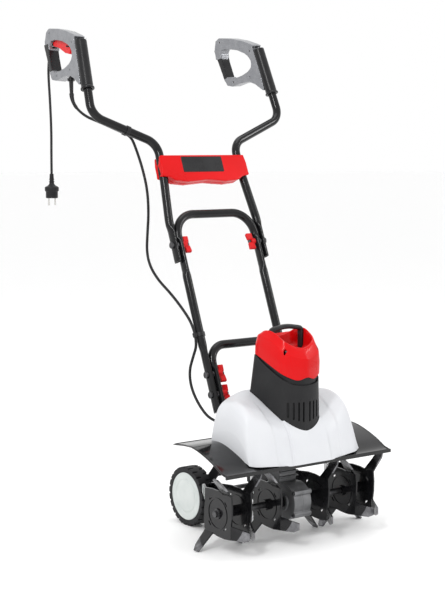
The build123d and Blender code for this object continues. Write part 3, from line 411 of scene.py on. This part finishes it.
def tube_rows(points, radius_at):
    """Rings round a line, each with the radius for its distance along it."""
    rows, run = [], 0.0
    normal = (points[1] - points[0]).orthogonal().normalized()
    for i, point in enumerate(points):
        way = (points[min(i + 1, len(points) - 1)] - points[max(i - 1, 0)]).normalized()
        normal = (normal - way * normal.dot(way)).normalized()
        other = way.cross(normal)
        if i:
            run += (point - points[i - 1]).length
        radius = radius_at(run)
        rows.append([point + (normal * math.cos(a) + other * math.sin(a)) * radius for a in circle(14)])
    return rows


BOOT_LENGTH = 0.046
CABLE_RADIUS = 0.0035


def boot_radius(run):
    """The cable's radius, with the ribbed boot that it leaves the grip through."""
    if run > BOOT_LENGTH:
        return CABLE_RADIUS
    return 0.0058 - run / BOOT_LENGTH * 0.0019 + 0.0003 * math.cos(run * 1800)


switch_cable = loose("switch_cable_run", prism("cable", tube_rows(path_of(switch_route), boot_radius)))
switch_cable.data.materials.append(MAT["cable_black"])
settle(switch_cable, 50)
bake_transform(switch_cable)
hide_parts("switch_cable")

# ---------------------------------------------------------------- skirt cover
SKIRT_WALL = 0.0026
skirt_rows = [          # half width, then the profile from the back over the top to the front edge
    (0, [(102, 246), (98, 350), (72, 362), (26, 340), (-30, 306), (-61, 263), (-81, 202)]),
    (58, [(102, 246), (98, 350), (72, 361), (26, 340), (-30, 307), (-61, 269), (-81, 202)]),
    (84, [(102, 246), (98, 349), (74, 361), (24, 344), (-25, 310), (-56, 278), (-76, 204)]),
    (118, [(101, 246), (97, 341), (68, 355), (26, 348), (-19, 321), (-46, 288), (-70, 206)]),
    (150, [(100, 246), (95, 326), (62, 343), (28, 347), (-12, 327), (-34, 293), (-64, 208)]),
    (163, [(99, 246), (94, 300), (60, 317), (24, 321), (-12, 304), (-35, 273), (-58, 210)]),
    (170, [(98, 246), (94, 262), (60, 275), (20, 280), (-12, 268), (-36, 244), (-54, 212)]),
]
flat_rows = [(x, *[value for point in points for value in point]) for x, points in skirt_rows]
half_rows = spline_through(flat_rows, 14)
full_rows = [(-row[0], *row[1:]) for row in reversed(half_rows[1:])] + half_rows
rows = []
for row in full_rows:
    x, pairs = row[0], list(zip(row[1::2], row[2::2]))
    profile = spline_through(pairs, 8)
    wing = ease(96, 102, abs(x)) * (1 - ease(140, 165, abs(x)))
    relief = 5.0 * (1 - ease(54.5, 58.5, abs(x))) + 2.6 * wing
    line = []
    for i, (y, z) in enumerate(profile):
        share = ease(0.45, 0.62, i / (len(profile) - 1))
        line.append(mm(x, y - relief * share, z + 0.35 * relief * share))
    rows.append(line)
for end in (0, -1):
    back_z, front_z = rows[end][0].z, rows[end][-1].z
    last = len(rows[end]) - 1
    foot = [Vector((p.x * 1.004, p.y, back_z + (front_z - back_z) * k / last))
            for k, p in enumerate(rows[end])]
    rows = [foot] + rows if end == 0 else rows + [foot]
skirt = place("skirt_shell", grid("skirt_shell", rows), MAT["skirt_white"], "chassis", "skirt_white")
thicken(skirt, SKIRT_WALL)

COWL_WALL = 0.0025
COWL_FOOT = 250         # the cowl's lower edge, hidden under the skirt cover
COWL_LOW, COWL_HIGH = 256, 470          # heights of the two outlines that the cowl is lofted through
cowl_low = [            # half outline at COWL_LOW
    (0, -59), (22, -57), (43, -50), (58, -37), (68, -12), (76, 18), (82, 52), (84, 78), (74, 91), (30, 92),
]
cowl_high = [           # half outline at COWL_HIGH
    (0, -58), (20, -56), (40, -49), (53, -37), (59, -12), (63, 18), (65, 45), (63, 66), (51, 78), (22, 80),
]


def corner_cut(points):
    """A closed outline with its corners cut three times over."""
    for _ in range(3):
        out = []
        for a, b in zip(points, points[1:] + points[:1]):
            out.append(tuple(0.75 * p + 0.25 * q for p, q in zip(a, b)))
            out.append(tuple(0.25 * p + 0.75 * q for p, q in zip(a, b)))
        points = out
    return points


def ring(half):
    """Closed outline from the half from the nose to the back, made smooth."""
    left = [(-p[0], *p[1:]) for p in half[1:]]
    return corner_cut(half + left[::-1])


low_ring, high_ring = ring(cowl_low), ring(cowl_high)
cowl_top_line = [       # y, height of the cowl's upper edge
    (-58, 387), (-50, 391), (-42, 398), (56, 450), (110, 454),
]


def cowl_point(k, z, grow=0.0):
    """Point k of the cowl's outline at a height, moved outwards by grow."""
    level = (z - COWL_LOW) / (COWL_HIGH - COWL_LOW)
    x = low_ring[k][0] * (1 - level) + high_ring[k][0] * level
    y = low_ring[k][1] * (1 - level) + high_ring[k][1] * level
    away = Vector((x, y - 15, 0)).normalized() * grow
    return mm(x + away.x, y + away.y, z)


def cowl_top(k):
    """Height of the cowl's upper edge at point k of its outline."""
    return along(cowl_top_line, low_ring[k][1] * 0.25 + high_ring[k][1] * 0.75)


def cowl_band(low, rise, steps, grow=0.0):
    """Rings from a height up to rise above the cowl's upper edge."""
    return [[cowl_point(k, low + (cowl_top(k) + rise - low) * j / steps, grow) for k in range(len(low_ring))]
            for j in range(steps + 1)]


rows = cowl_band(COWL_FOOT, 0, 16)
cowl = place("cowl_shell", grid("cowl_shell", rows, closed=True), MAT["cowl_grey"], "chassis", "cowl_grey")
thicken(cowl, COWL_WALL)
settle(cowl)
rows = [[cowl_point(k, z, 1.0) for k in range(len(low_ring))] for z in (190, 250, 380, 500)]
settle(skirt)
cut(skirt, loose("opening", prism("opening", rows)))
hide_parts("skirt_cover")

SLOT_RADIUS, SLOT_TOP = 2.3, 348        # air slots in the cowl's nose
slots = []
for x, foot in ((9.5, 298), (22.5, 302), (35.5, 306), (47.5, 311)):
    for sign in (-1, 1):
        ends = [(SLOT_TOP - SLOT_RADIUS, 0), (foot + SLOT_RADIUS, math.pi)]
        outline = [(sign * x + SLOT_RADIUS * math.cos(a + start), z + SLOT_RADIUS * math.sin(a + start))
                   for z, start in ends for a in (math.pi * i / 8 for i in range(9))]
        slots.append(prism("slot", [[mm(px, y, pz) for px, pz in outline] for y in (-75, -28)]))
cut(cowl, loose("slots", merged(bpy.data.meshes.new("slots"), slots)))
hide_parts("motor_cowl")

liner = place("cowl_liner", grid("cowl_liner", cowl_band(262, 24, 12, -4.0), closed=True),
              MAT["mount_black"], "chassis", "mount_black")
thicken(liner, 0.0015)
settle(liner)

# ---------------------------------------------------------------- red top cover with its hand recess
cap_rings = [           # half outlines, from the lower edge over the rim and down to the recess's floor
    [(0, -60, 406), (5, -59.6, 406), (25, -54, 398), (49, -45, 409), (59, -33, 416), (64, -2, 430),
     (66, 28, 443), (66, 52, 452), (62, 69, 454), (49, 82, 455), (22, 86, 456)],
    [(0, -61, 430), (5, -60.6, 430), (25, -55, 430), (49, -46, 436), (59, -34, 443), (64, -4, 458),
     (66, 26, 471), (66, 50, 477), (61, 68, 478), (48, 81, 478), (22, 85, 478)],
    [(0, -59, 451), (5, -58.6, 451), (25, -53, 455), (46, -45.5, 461), (55, -35, 468), (60, -9, 486),
     (61, 18, 497), (61, 45, 501), (58, 64, 500), (45, 77, 497), (20, 81, 495)],
    [(0, -57, 454), (5, -56.6, 454), (24, -51, 458), (44, -43.5, 464), (53, -34, 471), (58, -8, 489),
     (59, 18, 500), (59, 44, 504), (56, 62, 503), (44, 75, 500), (20, 79, 498)],
    [(0, -43, 475), (6, -43, 475), (22, -40, 479), (37, -35, 486), (47, -26, 495), (51, -2, 508),
     (52, 18, 516), (52, 42, 514), (49, 57, 508), (39, 67, 498), (18, 72, 492)],
    [(0, -39, 476), (6, -39, 476), (20, -36, 480), (35, -31, 487), (44.5, -23, 495), (48.5, -1, 508),
     (49.5, 18, 515), (49.5, 41, 513), (46, 54, 507), (37, 64, 497), (17, 69, 492)],
    [(0, -33, 470), (6, -33, 470), (19, -30, 470), (32, -25, 471), (42, -18, 472), (47, 0, 473),
     (48, 18, 473), (48, 40, 473), (44, 52, 473), (35, 60, 474), (16, 65, 475)],
    [(0, -24, 467), (5, -24, 467), (16, -22, 467), (28, -18, 467), (37, -12, 467), (43, 2, 467),
     (44, 18, 467), (44, 36, 467), (39, 47, 467), (30, 54, 468), (14, 58, 468)],
]
cap_loops = [ring(half) for half in cap_rings]
rows = []
for low, high in zip(cap_loops, cap_loops[1:]):
    for j in range(4):
        rows.append([mm(*(a + (b - a) * j / 4 for a, b in zip(p, q))) for p, q in zip(low, high)])
rows.append([mm(*p) for p in cap_loops[-1]])
FLOOR_Y, FLOOR_Z = 18, 466      # middle of the recess's floor
for scale in (0.8, 0.6, 0.4, 0.2, 0.05):
    rows.append([mm(x * scale, FLOOR_Y + (y - FLOOR_Y) * scale, FLOOR_Z + (z - FLOOR_Z) * scale)
                 for x, y, z in cap_loops[-1]])
cap_mesh = grid("cap_shell", rows, closed=True)
work = bmesh.new()
work.from_mesh(cap_mesh)
work.verts.ensure_lookup_table()
total = len(work.verts)
work.faces.new([work.verts[total - len(rows[0]) + i] for i in range(len(rows[0]))])
bmesh.ops.recalc_face_normals(work, faces=work.faces)
work.to_mesh(cap_mesh)
work.free()
cap = place("cap_shell", cap_mesh, MAT["red_plastic"], "chassis", "red_plastic")
relax = cap.modifiers.new("relax", "SMOOTH")
relax.factor = 0.5
relax.iterations = 1
thicken(cap, 0.0025)
settle(cap)
wells = []
for x in (-50, 50):
    wells.append(prism("well", [[mm(x + 4 * math.cos(a), -35 + 4 * math.sin(a), z) for a in circle(20)]
                                for z in (462, 520)]))
cut(cap, loose("screw_wells", merged(bpy.data.meshes.new("screw_wells"), wells)))
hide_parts("top_cover")

# ---------------------------------------------------------------- moulded parts
softened(0.0012, 22, "panel_front")
softened(0.0012, 22, "panel_rear")
softened(0.0008, 8, "carry_handle", swell=0.0018)
softened(0.0010, 12, "grip_left_outer", "grip_left_inner", swell=0.0006)
softened(0.0010, 12, "grip_right_outer", "grip_right_inner", swell=0.0006)
pads = softened(0.0009, 22, "grip_pads")
tilt_sin, tilt_cos = math.sin(HANDLE_LEAN), math.cos(HANDLE_LEAN)
grip_way = Vector((0, tilt_sin, tilt_cos))
for sign, stretch, shift in ((-1, 0.45, 0.004), (1, 0.6, 0.010)):
    own = [v for v in pads.data.vertices if v.co.x * sign > 0]
    along_bar = [v.co.dot(grip_way) for v in own]
    middle = (min(along_bar) + max(along_bar)) / 2
    for v, place_on_bar in zip(own, along_bar):
        v.co += grip_way * ((place_on_bar - middle) * stretch + shift)
softened(0.0010, 14, "grip_sleeve_left")
softened(0.0010, 14, "grip_sleeve_right")
softened(0.0007, 6, "trigger")
softened(0.0010, 3, "gear_case_left")
softened(0.0010, 3, "gear_case_right")
for side_name in ("left", "right"):
    softened(0.0010, 3, "wheel_rim_" + side_name)
    softened(0.0010, 3, "tyre_" + side_name)
    for level in ("upper", "middle", "lower"):
        softened(0.0006, 5, "wing_nut_" + level + "_" + side_name)

# ---------------------------------------------------------------- blank plate on the crosspiece
PLATE_X, PLATE_S = -7, 974      # the plate's middle, across and up the handle


def handle_at(x, s, n):
    """The point at x, s up the handle and n in front of its plane."""
    return mm(x, 18 + s * tilt_sin - n * tilt_cos, s * tilt_cos + n * tilt_sin)


plate_corners = []
for cx, cs, start in ((54, 992, 0), (-68, 992, 90), (-68, 956, 180), (54, 956, 270)):
    for a in range(0, 91, 15):
        angle = math.radians(start + a)
        plate_corners.append((cx + 3 * math.cos(angle), cs + 3 * math.sin(angle)))
rows = [[handle_at(x, s, n) for x, s in plate_corners] for n in (16.2, 17.5)]
rows.append([handle_at(PLATE_X + (x - PLATE_X) * 0.992, PLATE_S + (s - PLATE_S) * 0.975, 17.9)
             for x, s in plate_corners])
plate = place("label_plate", prism("label_plate", rows), MAT["label_black"], "upper_handle", "handle_black")
settle(plate, 25)

# ---------------------------------------------------------------- rolled edge of the fender
fender_line = [(-77, 202), (-58, 206), (-38, 216), (0, 232), (40, 244), (65, 248), (97, 246.5), (137, 242)]
edge = [(-253, y, z) for y, z in fender_line] + [(253, y, z) for y, z in reversed(fender_line)]
edge_points = []
for a, b in zip(edge, edge[1:] + edge[:1]):
    gap = max(1, round((Vector(b) - Vector(a)).length / 12))
    for k in range(gap):
        edge_points.append(mm(*(p + (q - p) * k / gap for p, q in zip(a, b))))
lip_line = curve("fender_lip_line", edge_points, 0.0021, cyclic=True)
lip_mesh = bpy.data.meshes.new_from_object(lip_line)
bpy.data.objects.remove(lip_line)
lip = place("fender_lip", lip_mesh, MAT["fender_black"], "chassis", "fender_black")
settle(lip, 60)

# ---------------------------------------------------------------- painted reflection on the tine blades' tips: a lighter steel finish on the outer ends stands in for the bright floor mirrored in their glossy black paint
TIP_FROM, TIP_TO, TIP_X = 84, 120, 280      # radii and half width of the ring that keeps the tips
hoop_line = [(TIP_FROM, -TIP_X), (TIP_FROM, TIP_X), (TIP_TO, TIP_X), (TIP_TO, -TIP_X), (TIP_FROM, -TIP_X)]
for node in ("tine_pair_left", "tine_pair_right", "tine_inner_left", "tine_inner_right"):
    tips = place(node + "_tips", frame["nodes"][node].data.copy(), MAT["tip_painted_reflection"], BODY[node], SLOT[node])
    weld = tips.modifiers.new("weld", "WELD")
    weld.merge_threshold = 0.00001
    swell = tips.modifiers.new("swell", "DISPLACE")
    swell.strength = 0.0005
    swell.mid_level = 0.0
    settle(tips)
    rings = [[mm(x, radius * math.sin(a), SHAFT_Z + radius * math.cos(a)) for a in circle(72)]
             for radius, x in hoop_line]
    hoop = grid("hoop", rings, closed=True)
    work = bmesh.new()
    work.from_mesh(hoop)
    bmesh.ops.remove_doubles(work, verts=work.verts, dist=1e-6)
    bmesh.ops.recalc_face_normals(work, faces=work.faces)
    work.to_mesh(hoop)
    work.free()
    cut(tips, loose("hoop", hoop), "INTERSECT")

# ---------------------------------------------------------------- studio
floor_mat, floor_tree, floor_bsdf = nodes_of("studio_floor")
floor_bsdf.inputs["Base Color"].default_value = (0.985, 0.985, 0.985, 1)
floor_bsdf.inputs["Roughness"].default_value = 0.6
floor_bsdf.inputs["Specular IOR Level"].default_value = 0.1
mesh = bpy.data.meshes.new("floor")
mesh.from_pydata([(-40, -40, 0), (40, -40, 0), (40, 40, 0), (-40, 40, 0)], [], [(0, 1, 2, 3)])
floor = bpy.data.objects.new("floor", mesh)
floor.data.materials.append(floor_mat)
scene_objects.link(floor)

world = bpy.data.worlds.new("studio")
bpy.context.scene.world = world
world.use_nodes = True
world.node_tree.nodes["Background"].inputs[0].default_value = (1, 1, 1, 1)
world.node_tree.nodes["Background"].inputs[1].default_value = 1.0


def lamp(name, where, target, size, watts):
    """A rectangular lamp that faces its target."""
    data = bpy.data.lights.new(name, "AREA")
    data.shape = "RECTANGLE"
    data.size, data.size_y = size
    data.energy = watts
    lamp_object = bpy.data.objects.new(name, data)
    scene_objects.link(lamp_object)
    way = Vector(target) - Vector(where)
    lamp_object.location = where
    lamp_object.rotation_euler = way.to_track_quat("-Z", "Y").to_euler()


lamp("key", (-2.2, -1.4, 2.4), (0, 0, 0.5), (0.3, 1.2), 34)
lamp("fill", (2.4, -1.8, 1.8), (0, 0, 0.5), (0.3, 1.4), 16)
lamp("top", (0.2, 0.2, 3.2), (0, 0, 0.4), (1.6, 1.6), 14)
bpy.context.scene.view_settings.view_transform = "Standard"
